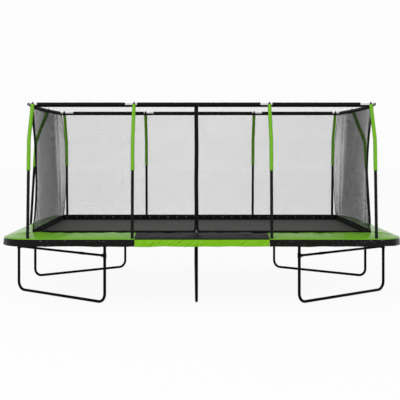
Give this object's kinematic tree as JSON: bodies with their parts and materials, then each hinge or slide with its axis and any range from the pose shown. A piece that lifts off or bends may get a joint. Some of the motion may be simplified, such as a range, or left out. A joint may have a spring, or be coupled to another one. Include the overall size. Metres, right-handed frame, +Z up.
{
  "type": "trampoline",
  "caption": "Rectangular garden trampoline with padded springs, bent tube legs and a net enclosure on bent poles with a zipped door.",
  "frame": {"origin": "on the ground under the middle of the frame", "axes": "+X along the length, +Y from the side with the door to the side opposite, +Z up"},
  "size_m": [5.2674, 3.144, 2.6187],
  "materials": {
    "frame_steel": "black powder coat",
    "zinc_steel": "zinc plated",
    "black_foam": "closed-cell foam with a ribbed skin",
    "green_foam": "foam with a smooth green skin",
    "cap_plastic": "moulded black plastic",
    "ring_rod": "pale grey rod",
    "mat_cloth": "woven polypropylene",
    "webbing": "black webbing",
    "green_pad": "coated cloth over foam",
    "black_pad": "coated cloth over foam",
    "black_skirt": "coated cloth",
    "lime_skirt": "coated cloth",
    "net": "knitted mesh"
  },
  "bodies": {
    "frame": {"rail_front_left": "frame_steel", "rail_front_right": "frame_steel", "rail_rear_left": "frame_steel", "rail_rear_right": "frame_steel", "rail_left": "frame_steel", "rail_right": "frame_steel", "rail_joiners": "zinc_steel", "elbow_front_left": "frame_steel", "elbow_front_right": "frame_steel", "elbow_rear_left": "frame_steel", "elbow_rear_right": "frame_steel", "leg_saddles": "frame_steel", "leg_front_left": "frame_steel", "leg_front_right": "frame_steel", "leg_rear_left": "frame_steel", "leg_rear_right": "frame_steel", "centre_leg": "frame_steel", "crossbar_front_left": "frame_steel", "crossbar_front_right": "frame_steel", "crossbar_rear_left": "frame_steel", "crossbar_rear_right": "frame_steel", "crossbar_sleeves": "frame_steel", "crossbar_collars": "frame_steel", "pole_brackets": "frame_steel", "lower_poles": "frame_steel", "upper_poles": "frame_steel", "black_pole_sleeves": "black_foam", "green_pole_sleeves": "green_foam", "pole_caps": "cap_plastic", "ring_rods": "ring_rod", "ring_sleeves": "black_foam", "spring_staples": "zinc_steel", "springs_front": "zinc_steel", "springs_rear": "zinc_steel", "springs_left": "zinc_steel", "springs_right": "zinc_steel", "pad_front_left": "green_pad", "pad_front_right": "green_pad", "pad_rear_left": "green_pad", "pad_rear_right": "green_pad", "pad_front_middle": "black_pad", "pad_rear_middle": "black_pad", "skirt_front_left": "black_skirt", "skirt_front_right": "black_skirt", "skirt_rear_left": "black_skirt", "skirt_rear_right": "black_skirt", "skirt_front_middle": "lime_skirt", "skirt_rear_middle": "lime_skirt", "net_front_left": "net", "net_front_right": "net", "net_rear": "net", "net_left": "net", "net_right": "net", "zip_flap": "webbing", "leg_bolts": "zinc_steel", "pole_bolts": "zinc_steel"},
    "mat": {"mat": "mat_cloth", "mat_webbing": "webbing", "v_rings": "zinc_steel"},
    "zip_slider": {"zip_slider": "cap_plastic"}
  },
  "joints": [
    {"name": "mat_bounce", "type": "slide", "parent": "frame", "child": "mat", "axis": [0, 0, 1], "range_m": [-0.15, 0], "stiffness_N_per_m": 6000, "springref_m": 0.06, "deforming": ["springs_front", "springs_rear", "springs_left", "springs_right"]},
    {"name": "zip_slide", "type": "slide", "parent": "frame", "child": "zip_slider", "axis": [0, 0, 1], "range_m": [0, 1.5]}
  ]
}
